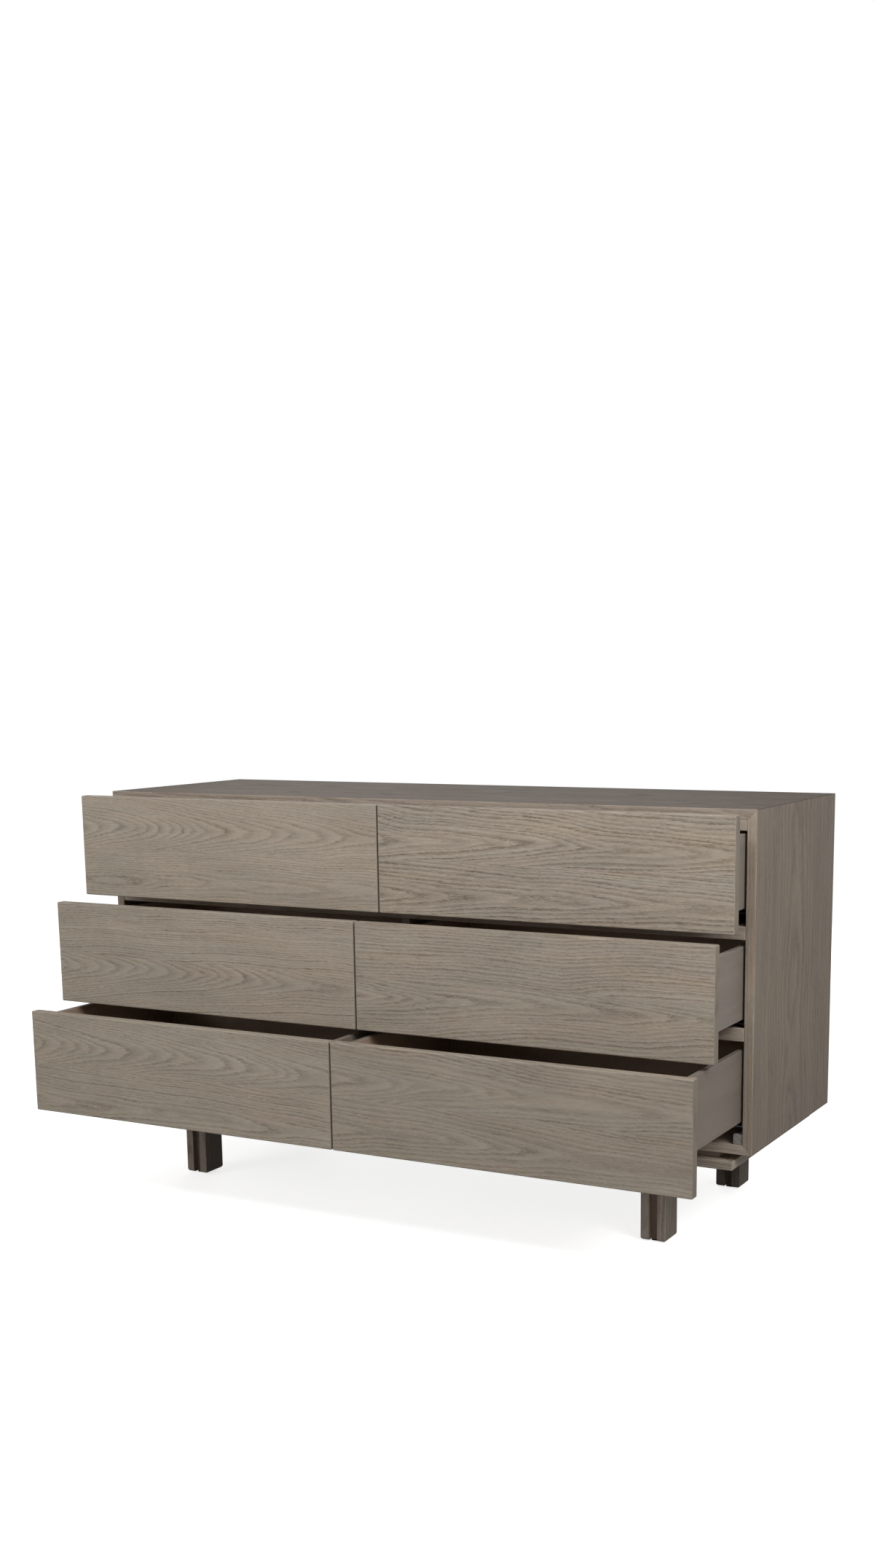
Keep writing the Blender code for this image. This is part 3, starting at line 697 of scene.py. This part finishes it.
def dress_case():
    for seed, word in zip(itertools.count(SIDE_SEED), ("left", "right")):
        dress_in_oak(f"side_panel_{word}", "Z", "Y", CASE, seed, UPRIGHT_FIGURE,
                     strength=0.8, wear=0.03, marks_and_light=side_marks_and_shade)
    dress_in_oak("top_panel", "X", "Y", TOP_SHADED, PANEL_SEED, FLAT_FIGURE, seam=FLAT_SEAM,
                 strength=1.1, specular=0.015, wear=0.03, marks_and_light=top_marks_and_sheen)
    dress_in_oak("bottom_panel", "X", "Y", toned(EDGE_WITH_BOUNCE, BOTTOM_BOUNCE_TONE), PANEL_SEED + 1,
                 FLAT_FIGURE, seam=FLAT_SEAM, strength=0.8)
    dress_in_oak("back_panel", "X", "Z", CASE, PANEL_SEED + 2, BACK_FIGURE,
                 seam=BACK_SEAM, strength=0.8)
    dress_in_oak("centre_divider", "Z", "Y", CASE, PANEL_SEED + 3, UPRIGHT_FIGURE,
                 name="oak_divider", strength=0.75)
    rails = {"top_rail": RAIL, "upper_rail": toned(EDGE_WITH_BOUNCE, UPPER_RAIL_BOUNCE_TONE),
             "lower_rail": toned(EDGE_WITH_BOUNCE, LOWER_RAIL_BOUNCE_TONE)}
    for seed, (node_name, colours) in zip(itertools.count(RAIL_SEED), rails.items()):
        dress_in_oak(node_name, "X", "Z", colours, seed, RAIL_FIGURE, strength=0.8)


def dress_base():
    for seed, node_name in zip(itertools.count(SPACER_SEED), ("spacer_front", "spacer_back")):
        dress_in_oak(node_name, "X", "Y", EDGE_WITH_BOUNCE, seed, BASE_FIGURE, strength=0.8)
    dress_in_oak("base_frame", "X", "Y", FRAME, FRAME_SEED, BASE_FIGURE, strength=1.5,
                 turned=mitred_rails, marks_and_light=frame_finish)
    legs = {"front": (LEG, leg_marks_and_shade), "back": (toned(LEG, BACK_LEG_SHADE_TONE), back_leg_marks_and_shade)}
    seeds = itertools.count(LEG_SEED)
    for row, (colours, marks_and_light) in legs.items():
        for word in ("left", "right"):
            dress_in_oak(f"leg_{row}_{word}", "Z", "X", colours, next(seeds),
                         BASE_FIGURE, leaf=leg_boards, marks_and_light=marks_and_light)
    for seed, word in zip(itertools.count(CLEAT_SEED), ("left", "right")):
        dress_in_oak(f"cleat_{word}", "Y", "X", CLEAT, seed, END_FIGURE, strength=2.4,
                     marks_and_light=cleat_finish)


# A box's boards: the axis of the grain, the axis that the inner face looks along, and which way
BOX_BOARDS = {
    "side_left": ("Y", "X", 1.0),
    "side_right": ("Y", "X", -1.0),
    "back": ("X", "Y", -1.0),
}


def dress_box(drawer, colours, seeds, steel):
    for word, (along, inner, sign) in BOX_BOARDS.items():
        node_name = f"{drawer}_{word}"
        dress_in_oak(node_name, along, "Z", colours, next(seeds), BOX_FIGURE,
                     name=f"lacquered_{node_name}", strength=0.35, roughness=0.55, specular=0.1,
                     marks_and_light=inside_bounce_light(inner, sign))
    dress(f"{drawer}_bottom", bottom_material(drawer))
    for word in ("left", "right"):
        dress(f"{drawer}_rail_{word}", steel)


def dress_boxes():
    seeds = itertools.count(BOX_SEED)
    steel = steel_material()
    for row in ("top", "middle", "bottom"):
        colours = toned(BOX, LOW_BOX_SHADE_TONE) if row == "bottom" else BOX
        for column in ("left", "right"):
            dress_box(f"{row}_{column}_drawer", colours, seeds, steel)


# Slides and drawer bottoms. Cells are the sizes of a noise along x, y and z in mm, bumps a distance
# in metres and a strength
STEEL_COLOUR = (0.055, 0.055, 0.057)
DRAWN_CELLS, DRAWN_SHADE = (1.2, 120.0, 1.2), 0.08
BLOTCH_CELLS, BLOTCH_SHADE, BLOTCH_ROUGH = (30.0, 60.0, 30.0), 0.10, 0.06
STEEL_ROUGHNESS, STEEL_BUMP = 0.42, (0.00004, 0.5)

BOTTOM_THICKNESS = 6.0                       # mm, of the plywood
STEEL_EDGES = (0.15, 0.05)                   # below the plywood: the steel starts to fade and ends
PLY_COLOURS = ((0.300, 0.228, 0.178), (0.340, 0.262, 0.208))
PLY_PAIR, PLY_BLUR = 1.5, 0.2                # mm for two plies, and how soft their border is
PLY_CELLS, PLY_SHADE, PLY_ROUGH = (160.0, 2.0, 2.0), 0.10, 0.05
CLOUD_CELLS, CLOUD_SHADE = (120.0, 60.0, 60.0), 0.06
PLY_ROUGHNESS, PLY_BUMP = 0.55, (0.00008, 0.4)


def object_mm(t):
    coordinates = t.nodes.new("ShaderNodeTexCoord").outputs["Object"]
    return [t.mul(c, MM) for c in t.split(coordinates)]


def drawn_steel(t, xyz):
    """The slides' dark steel: its colour, its roughness and its drawing lines."""
    drawn = t.cells(xyz, DRAWN_CELLS)
    blotch = t.cells(xyz, BLOTCH_CELLS)
    shade = t.add(1.0, t.add(t.mul(drawn, DRAWN_SHADE), t.mul(blotch, BLOTCH_SHADE)))
    roughness = t.add(STEEL_ROUGHNESS, t.mul(blotch, BLOTCH_ROUGH))
    return t.tint(STEEL_COLOUR, shade), roughness, drawn


def steel_material():
    made, t, shader = new_material("drawn_steel")
    colour, roughness, drawn = drawn_steel(t, object_mm(t))
    t.put(shader.inputs["Base Color"], colour)
    t.put(shader.inputs["Roughness"], roughness)
    shader.inputs["Metallic"].default_value = 1.0
    t.put(shader.inputs["Normal"], t.bump(drawn, *STEEL_BUMP))
    return made


def bottom_material(drawer):
    """Plywood above, drawn steel below: the slide's moving channel is one solid with the bottom."""
    made, t, shader = new_material(f"bottom_and_slide_{drawer}")
    xyz = object_mm(t)
    z = xyz[2]
    top_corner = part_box(f"{drawer}_bottom")[1]
    underside = top_corner[2] * MM - BOTTOM_THICKNESS
    metal = t.fade(*(underside - below for below in STEEL_EDGES), z)
    grain = t.cells(xyz, PLY_CELLS, detail=3.0, rough=0.6)
    cloud = t.cells(xyz, CLOUD_CELLS)
    plies = t.step(-PLY_BLUR, PLY_BLUR, t.math("SINE", t.mul(z, 2 * math.pi / PLY_PAIR)))
    shade = t.add(1.0, t.add(t.mul(grain, PLY_SHADE), t.mul(cloud, CLOUD_SHADE)))
    wood = t.tint(t.mix(plies, *PLY_COLOURS), shade)
    wood_roughness = t.add(PLY_ROUGHNESS, t.mul(grain, PLY_ROUGH))
    steel, steel_roughness, _ = drawn_steel(t, xyz)
    t.put(shader.inputs["Base Color"], t.mix(metal, wood, steel))
    t.put(shader.inputs["Metallic"], metal)
    t.put(shader.inputs["Roughness"], t.blend(metal, wood_roughness, steel_roughness))
    t.put(shader.inputs["Normal"], t.bump(grain, *PLY_BUMP))
    return made


# Floor and world
WHITE = (1.0, 1.0, 1.0)
FLOOR_REACH = 30                             # metres to each side
FLOOR_LIT, FLOOR_SHOWN = (0.30, 0.30, 0.30), (0.95, 0.95, 0.95)
FLOOR_GLOW = 0.74                            # on the rays that show the floor
WORLD_LIT = (0.28, 0.28, 0.28)

# Each lamp's place, its aim, and its width and height, all in metres, and its power in watts
LAMPS = {
    "front_soft_box": ((0.0, -1.8, 2.1), (0.0, 0.0, 0.55), (3.2, 0.6), 30),
    "left_soft_box": ((-2.6, -3.4, 1.4), (0.0, 0.0, 0.5), (1.8, 1.4), 33),
    "right_soft_box": ((3.6, -2.2, 2.4), (0.0, 0.0, 0.6), (2.0, 1.4), 16),
    "near_soft_box": ((2.5, -1.2, 2.3), (0.5, 0.0, 0.6), (1.2, 1.2), 43),
    "rear_soft_box": ((-1.9, 3.6, 0.9), (0.0, 0.3, 0.5), (2.4, 0.9), 48),
}


def shown_rays(t):
    """1 on the rays that show the background itself: to the camera, in gloss and through glass."""
    path = t.nodes.new("ShaderNodeLightPath").outputs
    direct = t.math("MAXIMUM", path["Is Camera Ray"], path["Is Transmission Ray"])
    return t.math("MAXIMUM", direct, path["Is Glossy Ray"])


def make_floor():
    """A wide pale floor. The camera sees it near white, with the dresser's soft shadow on it."""
    mesh = bpy.data.meshes.new("floor")
    far = FLOOR_REACH
    corners = [(-far, -far, 0), (far, -far, 0), (far, far, 0), (-far, far, 0)]
    mesh.from_pydata(corners, [], [(0, 1, 2, 3)])
    floor = bpy.data.objects.new("floor", mesh)
    scene.collection.objects.link(floor)
    made, t, shader = new_material("pale_floor")
    seen = shown_rays(t)
    t.put(shader.inputs["Base Color"], t.mix(seen, FLOOR_LIT, FLOOR_SHOWN))
    shader.inputs["Roughness"].default_value = 1.0
    shader.inputs["Specular IOR Level"].default_value = 0.0
    shader.inputs["Emission Color"].default_value = (*WHITE, 1.0)
    t.put(shader.inputs["Emission Strength"], t.mul(seen, FLOOR_GLOW))
    mesh.materials.append(made)


def make_world():
    world = bpy.data.worlds.new("studio")
    scene.world = world
    world.use_nodes = True
    t = Tree(world.node_tree)
    background = world.node_tree.nodes["Background"]
    t.put(background.inputs["Color"], t.mix(shown_rays(t), WORLD_LIT, WHITE))
    background.inputs["Strength"].default_value = 1.0


def make_lamps():
    """Soft boxes that no view shows."""
    for name, (place, aim, size, power) in LAMPS.items():
        data = bpy.data.lights.new(name, "AREA")
        data.shape = "RECTANGLE"
        data.size, data.size_y = size
        data.energy = power
        lamp = bpy.data.objects.new(name, data)
        lamp.location = place
        lamp.rotation_euler = (Vector(aim) - Vector(place)).to_track_quat("-Z", "Y").to_euler()
        lamp.visible_camera = False
        scene.collection.objects.link(lamp)


make_camera()
dress_fronts()
dress_case()
dress_base()
dress_boxes()
make_floor()
make_world()
make_lamps()
